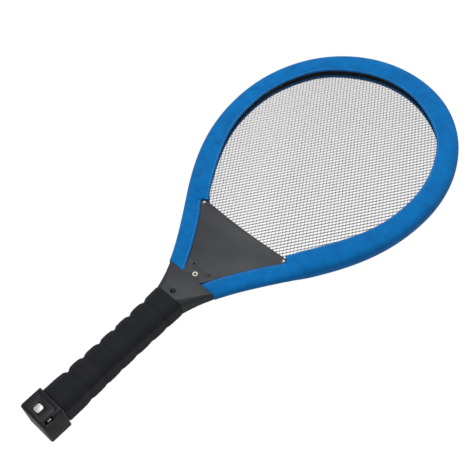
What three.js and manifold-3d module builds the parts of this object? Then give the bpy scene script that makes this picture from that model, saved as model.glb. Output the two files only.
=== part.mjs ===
// Electric fly swatter: a padded racket head with a live mesh, a two-half shell that forms the
// throat, neck and battery tube, a foam grip and a butt cap with a hinged door.
// Millimetres. Heights (z) are written from the butt face; the whole racket is then lowered so
// that the origin is the point where a hand holds the grip. +Z points to the tip of the head,
// -Y is the front and +X is the right-hand side seen from the front.

import * as THREE from 'three';
import { mergeVertices } from 'three/addons/utils/BufferGeometryUtils.js';
import Module from 'manifold-3d';

const wasm = await Module();
wasm.setup();

// ---- driving dimensions ------------------------------------------------------------------

const GAP = 0.3; // clearance between neighbouring pieces

// head
const HEAD_HALF_WIDTH = 120.2;
const HEAD_CENTRE_Z = 379.2; // height of the widest point
const HEAD_RISE = 130.8; // from the widest point to the tip
const CROWN_POWER = 2.05; // 2 is an ellipse, more is squarer
const RIM_FOOT = new THREE.Vector2(29.4, 186); // where the rim's outline meets the neck
const RIM_TAIL = 16; // the outline's straight run below its foot
const RIM_DEPTH = 9.2; // half thickness of the padded rim
const ARM_DEPTH = 5.2; // half thickness of its two arms beside the throat plate
const RIM_WIDTH = 21.6; // width of the padded band around the mesh
const CROWN_WIDTH = 24.6; // at the tip of the head
const RIM_NOTCH_WIDTH = 15.5; // beside the rivets
const RIM_ARM_WIDTH = 17.2; // beside the throat plate
const NOTCH_FROM_Z = 247.8; // the band steps out to its full width along the plate's top edge
const NOTCH_TO_Z = 249;
const NOTCH_SHEAR = 1; // how far the step leans back towards that edge's direction
const SLEEVE_WALL = 2.7; // padding outside the hoop
const COVER_WALL = 2.4; // padding in front of the hoop and behind it
const SLEEVE_LIP = 4.3; // padding inside the hoop
const SLOT_DEPTH = 2.9; // half thickness of the slot that the mesh layers pass through
const ARM_SLOT_DEPTH = 1.9;
const HOOP_LIP = 4.7; // width of the hoop's outer wall
const TONGUE_IN = 16.6; // the tongues that plug into the shoulder
const TONGUE_OUT = 21.2;
const TONGUE_FOOT_Z = 181;

// mesh layers
const MESH_THICKNESS = 0.3;
const MESH_PITCH = 2.1; // from one layer to the next
const MESH_INSET = 8; // from the rim's outline to the edge of a layer
const MESH_FOOT_Z = 252;

// throat, neck and battery tube
const SHOULDER_Z = 187.6;
const NECK_FOOT_Z = 159.4;
const THROAT_TOP_Z = 258.5;
const THROAT_DEPTH = 3.5; // half thickness of the throat plate
const NECK_HALF_WIDTHS = [[159.4, 15.8], [165, 17.7], [170, 19.8], [175, 22], [180, 24.3], [187.6, 28]];
const NECK_DEPTHS = [[159.4, 11.6], [166, 10.2], [175, 7.8], [187.6, 5.7], [193, 4.5], [200, 3.5], [262, 3.5]];
const TUBE_HALF_WIDTH = 12.2;
const TUBE_HALF_DEPTH = 10.8;
const TUBE_FOOT_Z = 17.6;
const SHELL_WALL = 2;
const THROAT_WALL = 1.1;
const RIVET = new THREE.Vector2(52, 255.9);
const TIP_RADIUS = 3.2;

// cap
const CAP_HALF_WIDTH = 15.5;
const CAP_FRONT = 16.2; // from the handle's axis to the cap's front face
const CAP_REAR = 17.6;
const CAP_HEIGHT = 22.4;
const CAP_WALL = 2;
const DOOR_RIGHT = 11.3;
const DOOR_FOOT_Z = 1.8;
const DOOR_TOP_Z = 18.3;
const DOOR_THICKNESS = 2;
const BARREL_RADIUS = 1.9; // of the door's hinge barrel
const LATCH_CENTRE = new THREE.Vector2(-0.8, 9.1);
const LATCH_SIZE = new THREE.Vector2(7.6, 7.6);

// grip
const GRIP_FOOT_Z = CAP_HEIGHT + GAP;
const GRIP_TOP_Z = NECK_FOOT_Z - 0.4;
const GRIP_GROOVE_Z = 49; // lowest finger groove
const GRIP_PITCH = 18.2;
const HAND_CENTRE_Z = 91;

// lights and button on the throat
const BUTTON_Z = 165;
const BEZEL_Z = 192.5;
const STATUS_LIGHT = new THREE.Vector2(9.6, 200.4);

// electrics
const BOARD_FRONT_Y = -0.4;
const BOARD_BACK_Y = 0.8;
const CELL_RADIUS = 7.1;
const CELL_LENGTH = 49.3;
const LOWER_CELL_Z = 28;
const UPPER_CELL_Z = 78.8;

// ---- materials ---------------------------------------------------------------------------

function material(color, roughness, metalness = 0) {
  return new THREE.MeshStandardMaterial({ color, roughness, metalness });
}

const blueFabric = material(0x1470c4, 0.85);
const greyPlastic = material(0x4a4b4e, 0.5);
const charcoalPlastic = material(0x303136, 0.45);
const blackPlastic = material(0x141416, 0.4);
const blackFoam = material(0x1f2023, 0.95);
const whitePlastic = material(0xe9e6da, 0.4);
const redLens = material(0x5a1d1a, 0.2);
const wireMesh = material(0xc2c4c6, 0.35, 0.9);
const bareMetal = material(0xc9cac8, 0.3, 1);
const boardGreen = material(0x1d5a38, 0.6);
const ferrite = material(0x3a3633, 0.7);
const filmCapacitor = material(0x8f2f22, 0.4);
const cellWrap = material(0x2c7d4f, 0.4);
const redWire = material(0xb3231f, 0.5);
const blackWire = material(0x1b1b1b, 0.5);

// ---- geometry helpers ----------------------------------------------------------------------

function toSolid(geometry) {
  const bare = geometry.clone();
  bare.deleteAttribute('normal');
  bare.deleteAttribute('uv');
  const merged = mergeVertices(bare, 1e-4);
  return new wasm.Manifold(new wasm.Mesh({
    numProp: 3,
    vertProperties: new Float32Array(merged.attributes.position.array),
    triVerts: new Uint32Array(merged.index.array),
  }));
}

function toGeometry(solid) {
  const { vertProperties, triVerts } = solid.getMesh();
  const geometry = new THREE.BufferGeometry();
  geometry.setAttribute('position', new THREE.BufferAttribute(new Float32Array(vertProperties), 3));
  geometry.setIndex(new THREE.BufferAttribute(new Uint32Array(triVerts), 1));
  geometry.computeVertexNormals();
  return geometry;
}

function union(...geometries) {
  return toGeometry(geometries.map(toSolid).reduce((all, next) => all.add(next)));
}

function cut(body, ...tools) {
  return toGeometry(tools.map(toSolid).reduce((rest, tool) => rest.subtract(tool), toSolid(body)));
}

function common(first, second) {
  return toGeometry(toSolid(first).intersect(toSolid(second)));
}

function box(x0, x1, y0, y1, z0, z1) {
  const geometry = new THREE.BoxGeometry(x1 - x0, y1 - y0, z1 - z0);
  return geometry.translate((x0 + x1) / 2, (y0 + y1) / 2, (z0 + z1) / 2);
}

// A solid of revolution about the Y axis through (x, z): profile points are (radius, y).
function turned(profile, x, z, segments = 20) {
  const points = profile.map(([radius, y]) => new THREE.Vector2(radius, y));
  return facingOut(new THREE.LatheGeometry(points, segments)).translate(x, 0, z);
}

// A plain rod along Y.
function rodY(radius, y0, y1, x, z, segments = 20) {
  return turned([[0, y0], [radius, y0], [radius, y1], [0, y1]], x, z, segments);
}

// A plain rod along Z.
function rodZ(radius, z0, z1, x, y, segments = 16) {
  const geometry = new THREE.CylinderGeometry(radius, radius, z1 - z0, segments);
  return geometry.rotateX(Math.PI / 2).translate(x, y, (z0 + z1) / 2);
}

// An outline in front view (x, z), extruded from y0 back to y1.
function frontView(outline, y0, y1) {
  const depth = y1 - y0;
  const geometry = new THREE.ExtrudeGeometry(new THREE.Shape(outline), { depth, bevelEnabled: false });
  const upright = new THREE.Matrix4().makeBasis(
    new THREE.Vector3(1, 0, 0), new THREE.Vector3(0, 0, 1), new THREE.Vector3(0, -1, 0));
  return geometry.applyMatrix4(upright).translate(0, y1, 0);
}

// An outline in side view (y, z), extruded from x0 to x1.
function sideView(outline, x0, x1) {
  const depth = x1 - x0;
  const geometry = new THREE.ExtrudeGeometry(new THREE.Shape(outline), { depth, bevelEnabled: false });
  const turnedUp = new THREE.Matrix4().makeBasis(
    new THREE.Vector3(0, 1, 0), new THREE.Vector3(0, 0, 1), new THREE.Vector3(1, 0, 0));
  return geometry.applyMatrix4(turnedUp).translate(x0, 0, 0);
}

function signedVolume(geometry) {
  const position = geometry.attributes.position;
  const index = geometry.index.array;
  const [a, b, c] = [new THREE.Vector3(), new THREE.Vector3(), new THREE.Vector3()];
  let sum = 0;
  for (let i = 0; i < index.length; i += 3) {
    a.fromBufferAttribute(position, index[i]);
    b.fromBufferAttribute(position, index[i + 1]);
    c.fromBufferAttribute(position, index[i + 2]);
    sum += a.dot(b.cross(c)) / 6;
  }
  return sum;
}

function facingOut(geometry) {
  if (signedVolume(geometry) > 0) return geometry;
  const index = Array.from(geometry.index.array);
  for (let i = 0; i < index.length; i += 3) {
    [index[i], index[i + 1]] = [index[i + 1], index[i]];
  }
  geometry.setIndex(index);
  return geometry;
}

// A solid skinned over rings of equal point count; flat gives one end ring's 2-D outline.
function skin(rings, flat) {
  const count = rings[0].length;
  const positions = rings.flat().flatMap((point) => point.toArray());
  const index = [];
  for (let i = 0; i + 1 < rings.length; i += 1) {
    for (let j = 0; j < count; j += 1) {
      const a = i * count + j;
      const b = i * count + (j + 1) % count;
      index.push(a, b, b + count, a, b + count, a + count);
    }
  }
  const last = (rings.length - 1) * count;
  const clockwise = THREE.ShapeUtils.isClockWise(flat);
  for (const [a, b, c] of THREE.ShapeUtils.triangulateShape(flat, [])) {
    const [from, to] = clockwise ? [a, c] : [c, a];
    index.push(from, b, to, last + to, last + b, last + from);
  }
  const geometry = new THREE.BufferGeometry();
  geometry.setAttribute('position', new THREE.Float32BufferAttribute(positions, 3));
  geometry.setIndex(index);
  return facingOut(geometry);
}

// A rounded rectangle across z, as points from the +X side towards +Y.
function roundedSection(halfWidth, halfDepth, radius, z, cornerSteps = 4) {
  const corners = [[1, 1, 0], [-1, 1, 1], [-1, -1, 2], [1, -1, 3]];
  return corners.flatMap(([sideX, sideY, quarter]) => (
    Array.from({ length: cornerSteps + 1 }, (_, i) => {
      const angle = (quarter + i / cornerSteps) * Math.PI / 2;
      return new THREE.Vector3(
        sideX * (halfWidth - radius) + radius * Math.cos(angle),
        sideY * (halfDepth - radius) + radius * Math.sin(angle),
        z);
    })));
}

function loft(sections) {
  return skin(sections, sections[0].map((point) => new THREE.Vector2(point.x, point.y)));
}

function piecewise(table, z) {
  const last = table.length - 1;
  if (z <= table[0][0]) return table[0][1];
  if (z >= table[last][0]) return table[last][1];
  const i = table.findIndex(([height]) => height > z) - 1;
  const share = (z - table[i][0]) / (table[i + 1][0] - table[i][0]);
  return THREE.MathUtils.lerp(table[i][1], table[i + 1][1], share);
}

// A round wire along a smooth route.
function wire(route, radius, sides = 6, steps = 10) {
  const extrudePath = new THREE.CatmullRomCurve3(route.map((point) => new THREE.Vector3(...point)));
  const circle = new THREE.Path().absarc(0, 0, radius, 0, 2 * Math.PI);
  const section = new THREE.Shape(circle.getPoints(sides).slice(1));
  return new THREE.ExtrudeGeometry(section, { steps, extrudePath, bevelEnabled: false });
}

// ---- the rim's outline ---------------------------------------------------------------------

// The share of the way up the flank where it reaches a height.
function flankShare(flank, z) {
  let [low, high] = [0, 1];
  for (let i = 0; i < 30; i += 1) {
    const middle = (low + high) / 2;
    if (flank.getPoint(middle).y < z) low = middle;
    else high = middle;
  }
  return high;
}

// The right flank is a short straight tail and one Bezier from the neck up to the widest point,
// and the crown is half a superellipse. A station is a point of the outline with its outward
// normal. Two close stations frame the step in the band's width.
function rimStations(flankSteps = 22, crownSteps = 13) {
  const widest = new THREE.Vector2(HEAD_HALF_WIDTH, HEAD_CENTRE_Z);
  const flank = new THREE.CubicBezierCurve(
    RIM_FOOT,
    RIM_FOOT.clone().add(new THREE.Vector2(31.4, 61.5)),
    widest.clone().add(new THREE.Vector2(-1, -89.5)),
    widest);
  const onFlank = (t) => {
    const tangent = flank.getTangent(t);
    return { at: flank.getPoint(t), normal: new THREE.Vector2(tangent.y, -tangent.x) };
  };
  const onCrown = (t) => {
    const [c, s] = [Math.cos(t * Math.PI / 2), Math.sin(t * Math.PI / 2)];
    const power = 2 / CROWN_POWER;
    return {
      at: new THREE.Vector2(HEAD_HALF_WIDTH * c ** power, HEAD_CENTRE_Z + HEAD_RISE * s ** power),
      normal: new THREE.Vector2(c ** (2 - power) / HEAD_HALF_WIDTH, s ** (2 - power) / HEAD_RISE).normalize(),
    };
  };
  const even = Array.from({ length: flankSteps }, (_, i) => i / flankSteps);
  const step = [NOTCH_FROM_Z, NOTCH_TO_Z].map((z) => flankShare(flank, z));
  const shares = [...even, ...step].sort((a, b) => a - b);
  const tailEnd = RIM_FOOT.clone().sub(flank.getTangent(0).multiplyScalar(RIM_TAIL));
  const right = [{ at: tailEnd, normal: onFlank(0).normal }, ...shares.map(onFlank)];
  for (let i = 0; i < crownSteps; i += 1) right.push(onCrown(i / crownSteps));
  const top = { at: new THREE.Vector2(0, HEAD_CENTRE_Z + HEAD_RISE), normal: new THREE.Vector2(0, 1) };
  const mirror = new THREE.Vector2(-1, 1);
  const left = right.map(({ at, normal }) => ({
    at: at.clone().multiply(mirror),
    normal: normal.clone().multiply(mirror),
  }));
  return [...right, top, ...left.reverse()];
}

function mirrored(points) {
  return points.map((point) => new THREE.Vector2(-point.x, point.y)).reverse();
}

function insetPoint({ at, normal }, inset) {
  return at.clone().addScaledVector(normal, -inset);
}

// The right half of the outline shrunk by inset, from height zFrom to zTo.
function rightEdge(inset, zFrom, zTo = 1000) {
  const points = rimStations().filter(({ at }) => at.x > 0.01).map((station) => insetPoint(station, inset));
  const first = points.findIndex((point) => point.y > zFrom);
  const share = (zFrom - points[first - 1].y) / (points[first].y - points[first - 1].y);
  const start = points[first - 1].clone().lerp(points[first], share);
  return [start, ...points.slice(first).filter((point) => point.y < zTo)];
}

// The band's width at a height: arm, notch beside the rivet, full width, a little more at the tip.
function bandWidth(z, stepFrom, stepTo) {
  const { lerp, smoothstep } = THREE.MathUtils;
  const lower = lerp(RIM_ARM_WIDTH, RIM_NOTCH_WIDTH, smoothstep(z, 232, 243));
  const crown = lerp(RIM_WIDTH, CROWN_WIDTH, smoothstep(z, 460, 505));
  const upper = crown + 1.8 - 2.4 * smoothstep(z, 285, 350) + 0.6 * smoothstep(z, 390, 440);
  return lerp(lower, upper, smoothstep(z, stepFrom, stepTo));
}

const sleeveWidth = (z) => bandWidth(z, NOTCH_FROM_Z, NOTCH_TO_Z);
const hoopWidth = (z) => bandWidth(z, NOTCH_TO_Z + 2, NOTCH_TO_Z + 14);

function rimDepth(z) {
  return THREE.MathUtils.lerp(ARM_DEPTH, RIM_DEPTH, THREE.MathUtils.smoothstep(z, 240, 262));
}

function slotDepth(z) {
  return THREE.MathUtils.lerp(ARM_SLOT_DEPTH, SLOT_DEPTH, THREE.MathUtils.smoothstep(z, 236, 246));
}

// Above the step the inner part of the band leans back, so that the step runs level.
function leanBack({ at, normal }, inset) {
  if (at.y < NOTCH_TO_Z - 0.1) return new THREE.Vector2();
  const depth = THREE.MathUtils.clamp((inset - RIM_NOTCH_WIDTH) / (RIM_WIDTH - RIM_NOTCH_WIDTH), 0, 1);
  const fade = 1 - THREE.MathUtils.smoothstep(at.y, NOTCH_TO_Z, NOTCH_TO_Z + 16);
  const upward = new THREE.Vector2(-normal.y, normal.x).multiplyScalar(Math.sign(at.x));
  return upward.multiplyScalar(-NOTCH_SHEAR * depth * fade);
}

// A solid swept round the rim. section(z) gives (inset, y) points for a station at height z.
function sweepRim(stations, section) {
  const rings = stations.map((station) => section(station.at.y).map(([inset, y]) => {
    const point = insetPoint(station, inset).add(leanBack(station, inset));
    return new THREE.Vector3(point.x, y, point.y);
  }));
  const flat = section(stations[0].at.y).map(([inset, y]) => new THREE.Vector2(inset, y));
  return skin(rings, flat);
}

const aboveShoulder = box(-200, 200, -20, 20, SHOULDER_Z + GAP, 600);

// ---- head ------------------------------------------------------------------------------------

// The padded sleeve: a C that is open along its inner edge, where the mesh layers come out.
function rimSleeve() {
  const section = (z) => {
    const [width, depth, slot] = [sleeveWidth(z), rimDepth(z), slotDepth(z)];
    const frontHalf = [
      [width - 0.3, -slot], [width, -depth * 0.62], [width - 1.6, -depth * 0.9], [width * 0.72, -depth],
      [width * 0.36, -depth], [2.2, -depth * 0.82], [0.5, -depth * 0.46], [0, 0],
    ];
    const pocketIn = width - SLEEVE_LIP;
    const pocket = depth - COVER_WALL;
    const pocketFront = [[SLEEVE_WALL, -pocket], [pocketIn, -pocket], [pocketIn, -slot]];
    const back = ([inset, y]) => [inset, -y];
    const rearHalf = frontHalf.slice(0, -1).map(back).reverse();
    const pocketRear = pocketFront.map(back).reverse();
    return [...frontHalf, ...rearHalf, ...pocketRear, ...pocketFront];
  };
  return common(sweepRim(rimStations(), section), aboveShoulder);
}

// One half of the hoop: an L with the outer wall and the flange that clamps the mesh layers, and
// a tongue at each foot that plugs into the shell's shoulder. side is -1 in front, 1 behind.
function hoopHalf(side) {
  const section = (z) => {
    const outer = SLEEVE_WALL + GAP;
    const inner = hoopWidth(z) - SLEEVE_LIP - GAP;
    const depth = rimDepth(z) - COVER_WALL - GAP;
    const flange = slotDepth(z) - 0.35;
    return [
      [outer, side * 0.15], [outer, side * depth], [inner, side * depth],
      [inner, side * flange], [HOOP_LIP + outer, side * flange], [HOOP_LIP + outer, side * 0.15],
    ];
  };
  const hoop = common(sweepRim(rimStations(), section), aboveShoulder);
  const [near, far] = [0.15, 1.6].map((y) => side * y).sort((a, b) => a - b);
  const tongue = (x0, x1) => box(x0, x1, near, far, TONGUE_FOOT_Z, 193);
  return union(hoop, tongue(TONGUE_IN, TONGUE_OUT), tongue(-TONGUE_OUT, -TONGUE_IN));
}

// A layer's outline follows the rim and drops between the shells at the throat.
function meshLayer(level) {
  const shelfZ = THROAT_TOP_Z + 1;
  const tailHalfWidth = 49.2;
  const right = [
    new THREE.Vector2(tailHalfWidth, MESH_FOOT_Z),
    new THREE.Vector2(tailHalfWidth, shelfZ),
    ...rightEdge(MESH_INSET, shelfZ),
  ];
  const top = new THREE.Vector2(0, HEAD_CENTRE_Z + HEAD_RISE - MESH_INSET);
  const outline = [...right, top, ...mirrored(right)];
  const y = level * MESH_PITCH;
  return frontView(outline, y - MESH_THICKNESS / 2, y + MESH_THICKNESS / 2);
}

// An insulating ring between two layers, open at the throat.
function spacerRing(side) {
  const halfThickness = (MESH_PITCH - MESH_THICKNESS) / 2 - 0.2;
  const y = side * MESH_PITCH / 2;
  const section = (z) => {
    const outer = MESH_INSET + 0.2;
    const inner = hoopWidth(z) - SLEEVE_LIP - GAP;
    const [front, back] = [y - halfThickness, y + halfThickness];
    return [[outer, front], [outer, back], [inner, back], [inner, front]];
  };
  const aboveThroat = box(-200, 200, -20, 20, THROAT_TOP_Z + 3, 600);
  return common(sweepRim(rimStations(), section), aboveThroat);
}

// ---- shell -----------------------------------------------------------------------------------

// The right side of the throat plate, shrunk by inset: it runs along the rim's arm.
function throatSide(inset) {
  return rightEdge(RIM_ARM_WIDTH + GAP + 0.05 + inset, 184, 245);
}

function throatPlate() {
  const tip = Array.from({ length: 9 }, (_, i) => {
    const angle = THREE.MathUtils.degToRad(-48 + i * 138 / 8);
    return new THREE.Vector2(RIVET.x + TIP_RADIUS * Math.cos(angle), RIVET.y + TIP_RADIUS * Math.sin(angle));
  });
  const right = [...throatSide(0), ...tip];
  const bow = [[34, 258.3], [17, 257.6], [0, 257.4]].map(([x, z]) => new THREE.Vector2(x, z));
  const edge = [...right, ...bow];
  const plan = frontView([...edge, ...mirrored(edge.slice(0, -1))], -20, 20);
  const levels = [180, SHOULDER_Z, 193, 200, 262];
  const front = levels.map((z) => new THREE.Vector2(-piecewise(NECK_DEPTHS, z), z));
  const profile = [...front, ...front.map((point) => new THREE.Vector2(-point.x, point.y)).reverse()];
  return common(plan, sideView(profile, -80, 80));
}

function throatHollow() {
  const right = [...throatSide(SHELL_WALL), new THREE.Vector2(49.6, 252), new THREE.Vector2(49.6, 265)];
  return frontView([...right, ...mirrored(right)], -THROAT_DEPTH + THROAT_WALL, THROAT_DEPTH - THROAT_WALL);
}

function neckSections(inset) {
  return NECK_HALF_WIDTHS.map(([z, halfWidth]) => {
    const halfDepth = piecewise(NECK_DEPTHS, z) - inset;
    const radius = THREE.MathUtils.mapLinear(z, NECK_FOOT_Z, SHOULDER_Z, 7.5, 2.4) - inset;
    return roundedSection(halfWidth - inset, halfDepth, Math.max(radius, 0.6), z);
  });
}

function tube(inset, z0, z1) {
  const section = (z) => roundedSection(TUBE_HALF_WIDTH - inset, TUBE_HALF_DEPTH - inset, 7 - inset, z);
  return loft([section(z0), section(z1)]);
}

// Slots in the shoulder for the hoop's tongues.
function tongueSlots() {
  return [1, -1].map((side) => {
    const [x0, x1] = [(TONGUE_IN - GAP) * side, (TONGUE_OUT + GAP) * side].sort((a, b) => a - b);
    return box(x0, x1, -1.9, 1.9, TONGUE_FOOT_Z - 0.4, 190);
  });
}

function shellHalf(side) {
  const outer = union(loft(neckSections(0)), tube(0, TUBE_FOOT_Z, NECK_FOOT_Z + 3), throatPlate());
  const neckHollow = loft(neckSections(SHELL_WALL)
    .map((section) => section.map((point) => point.clone().setZ(Math.min(point.z, SHOULDER_Z - SHELL_WALL)))));
  const [y0, y1] = side < 0 ? [-40, -0.15] : [0.15, 40];
  const half = common(outer, box(-90, 90, y0, y1, 0, 400));
  const bore = tube(SHELL_WALL, TUBE_FOOT_Z + 1.5, NECK_FOOT_Z + 5);
  return cut(half, neckHollow, bore, throatHollow(), ...tongueSlots());
}

const screwPlaces = [[-24, 233], [24, 233], [0, 212], [0, 176]];

function frontShell() {
  const lights = [1, -1].map((side) => rodY(1.1, -9, 0, side * STATUS_LIGHT.x, STATUS_LIGHT.y, 16));
  const posts = screwPlaces.map(([x, z]) => rodY(2.4, -piecewise(NECK_DEPTHS, z) + 1, -0.9, x, z, 16));
  const pilots = screwPlaces.map(([x, z]) => rodY(1.2, -2.9, 0, x, z, 12));
  const body = cut(
    shellHalf(-1),
    rodY(2.6, -14, -7.5, 0, BUTTON_Z, 24),
    rodY(2.9, -7, -2, 0, BEZEL_Z, 24),
    ...lights,
    rodY(1.6, -9, 0, RIVET.x, RIVET.y, 16),
    rodY(1.6, -9, 0, -RIVET.x, RIVET.y, 16));
  return cut(union(body, ...posts), ...pilots);
}

function rearShell() {
  const bosses = screwPlaces.map(([x, z]) => rodY(3.4, 0.6, piecewise(NECK_DEPTHS, z) - 1, x, z, 16));
  const bores = screwPlaces.flatMap(([x, z]) => {
    const seat = piecewise(NECK_DEPTHS, z) - 1.9;
    return [rodY(1.6, 0, 12, x, z, 12), rodY(2.7, seat, 14, x, z, 16)];
  });
  return cut(
    union(shellHalf(1), ...bosses),
    ...bores,
    rodY(1.6, 0, 9, RIVET.x, RIVET.y, 16),
    rodY(1.6, 0, 9, -RIVET.x, RIVET.y, 16),
    rodY(1.3, 8, 12, 0, 19.9, 12),
    rodZ(1.6, TUBE_FOOT_Z - 1, TUBE_FOOT_Z + 3, -7.2, 5, 12));
}

function shellScrew([x, z]) {
  const seat = piecewise(NECK_DEPTHS, z) - 1.9 + GAP;
  const head = [[2.3, seat], [2.1, seat + 1.1], [0, seat + 1.3]];
  return turned([[0, -2.6], [0.9, -2.6], [0.9, seat], ...head], x, z, 12);
}

// A tubular rivet through both tips, with a domed head at each end.
function tipRivet(side) {
  const head = THROAT_DEPTH + 0.1;
  const profile = [
    [0, -head - 0.9], [1.6, -head - 0.75], [2.5, -head - 0.1], [2.5, -head], [1.25, -head],
    [1.25, head], [2.5, head], [2.5, head + 0.1], [1.6, head + 0.75], [0, head + 0.9],
  ];
  return turned(profile, side * RIVET.x, RIVET.y, 16);
}

// ---- lights, button and electrics ----------------------------------------------------------

function ledBezel() {
  const face = -piecewise(NECK_DEPTHS, BEZEL_Z);
  const rim = [[1.25, face - 0.2], [2.1, face - 0.65], [2.6, face - 0.3]];
  return turned([...rim, [2.6, face + 2], [1.25, face + 2], rim[0]], 0, BEZEL_Z, 24);
}

function indicatorLed() {
  const face = -piecewise(NECK_DEPTHS, BEZEL_Z);
  const dome = [[0, face - 0.3], [0.65, face - 0.15], [0.95, face + 0.3], [0.95, face + 2.4]];
  return turned([...dome, [1.6, face + 2.4], [1.6, -0.8], [0, -0.8]], 0, BEZEL_Z, 16);
}

function statusLight(side) {
  const face = -THROAT_DEPTH;
  const profile = [[0, face - 0.3], [0.5, face - 0.15], [0.8, face + 0.3], [0.8, -0.8], [0, -0.8]];
  return turned(profile, side * STATUS_LIGHT.x, STATUS_LIGHT.y, 12);
}

function zapButton() {
  const face = -piecewise(NECK_DEPTHS, BUTTON_Z);
  const cap = [[0, face - 0.7], [1.5, face - 0.6], [2.3, face - 0.1]];
  const flange = [[2.3, -7.2], [3.3, -7.2], [3.3, -6.5]];
  const stem = [[1.1, -6.5], [1.1, -5.2], [0, -5.2]];
  return turned([...cap, ...flange, ...stem], 0, BUTTON_Z, 20);
}

function buttonSwitch() {
  const body = box(-3, 3, -3.4, BOARD_FRONT_Y - GAP, BUTTON_Z - 3, BUTTON_Z + 3);
  return union(body, rodY(1.5, -3.9, -3, 0, BUTTON_Z, 12));
}

function circuitBoard() {
  const right = [[7, 137], [7, 193], [11, 197], [11, 204]].map(([x, z]) => new THREE.Vector2(x, z));
  const board = frontView([...right, ...mirrored(right)], BOARD_FRONT_Y, BOARD_BACK_Y);
  return cut(board, rodY(3.8, -4, 4, 0, 176, 16));
}

function transformer() {
  const core = box(-5, 5, BOARD_BACK_Y + GAP, 8.1, 141, 152);
  const windowLow = box(-6, -3.2, 2.4, 6.8, 140, 153);
  const windowHigh = box(3.2, 6, 2.4, 6.8, 140, 153);
  return cut(core, windowLow, windowHigh);
}

function highVoltageCapacitor() {
  const sections = [141, 142, 151, 152].map((z, i) => {
    const shrink = i === 0 || i === 3 ? 0.7 : 0;
    return roundedSection(5.5 - shrink, 3.2 - shrink, 1.2, z, 3);
  });
  return loft(sections).translate(0, -3.95, 0);
}

function batteryCell(z0) {
  const profile = [[0, 0], [6.4, 0], [CELL_RADIUS, 0.7], [CELL_RADIUS, CELL_LENGTH - 0.7], [6.4, CELL_LENGTH],
    [2.75, CELL_LENGTH], [2.75, CELL_LENGTH + 1.2], [0, CELL_LENGTH + 1.2]];
  const points = profile.map(([radius, z]) => new THREE.Vector2(radius, z));
  return facingOut(new THREE.LatheGeometry(points, 24)).rotateX(Math.PI / 2).translate(0, 0, z0);
}

class CoilCurve extends THREE.Curve {
  constructor(radius, z0, z1, turns) {
    super();
    Object.assign(this, { radius, z0, z1, turns });
  }

  getPoint(t, target = new THREE.Vector3()) {
    const angle = t * this.turns * 2 * Math.PI;
    const z = THREE.MathUtils.lerp(this.z0, this.z1, t);
    return target.set(this.radius * Math.cos(angle), this.radius * Math.sin(angle), z);
  }
}

function contactSpring() {
  const section = new THREE.Shape(new THREE.Path().absarc(0, 0, 0.4, 0, 2 * Math.PI).getPoints(6).slice(1));
  const extrudePath = new CoilCurve(4, 21, 27.2, 3);
  return new THREE.ExtrudeGeometry(section, { steps: 42, extrudePath, bevelEnabled: false });
}

// ---- grip ------------------------------------------------------------------------------------

// Soft scallops with a groove every pitch, deepest under the fingers on the -X side.
function gripRing(z, inset = 0) {
  const share = (z - GRIP_FOOT_Z) / (GRIP_TOP_Z - GRIP_FOOT_Z);
  const waist = Math.sin(Math.PI * THREE.MathUtils.clamp((share - 0.1) / 0.9, 0, 1));
  const halfWidth = THREE.MathUtils.lerp(15.4, 15.7, share) - waist * 0.9;
  const halfDepth = THREE.MathUtils.lerp(15, 12.9, share) - waist * 0.2;
  const backward = 0.8 * (1 - share ** 2); // the palm side swells to the rear
  const phase = (z - GRIP_GROOVE_Z) / GRIP_PITCH;
  const scallop = phase < -0.02 || phase > 5.5 ? 0 : 1 - Math.abs(Math.sin(Math.PI * phase)) ** 0.7;
  return roundedSection(halfWidth - inset, halfDepth - inset, 8, z, 4).map((point) => {
    const fingerSide = 1 - point.x / halfWidth;
    const depth = scallop * (0.4 + 0.55 * fingerSide);
    const reach = Math.hypot(point.x, point.y);
    const shrink = 1 - depth / reach;
    return new THREE.Vector3(point.x * shrink, point.y * shrink + backward, z);
  });
}

function foamGrip() {
  const grooves = [0, 1, 2, 3, 4, 5].map((i) => GRIP_GROOVE_Z + i * GRIP_PITCH);
  const around = grooves.flatMap((z) => [-6, -2.5, -0.9, 0, 0.9, 2.5, 6].map((offset) => z + offset));
  const heights = [GRIP_FOOT_Z + 1, 33, ...around, 150, GRIP_TOP_Z - 1];
  const rings = [
    gripRing(GRIP_FOOT_Z, 0.8), ...heights.map((z) => gripRing(z)), gripRing(GRIP_TOP_Z, 0.8),
  ];
  return cut(loft(rings), tube(-GAP, GRIP_FOOT_Z - 3, GRIP_TOP_Z + 3));
}

// ---- cap -------------------------------------------------------------------------------------

const hinge = new THREE.Vector2(-CAP_HALF_WIDTH + BARREL_RADIUS, -CAP_FRONT + BARREL_RADIUS);

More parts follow.
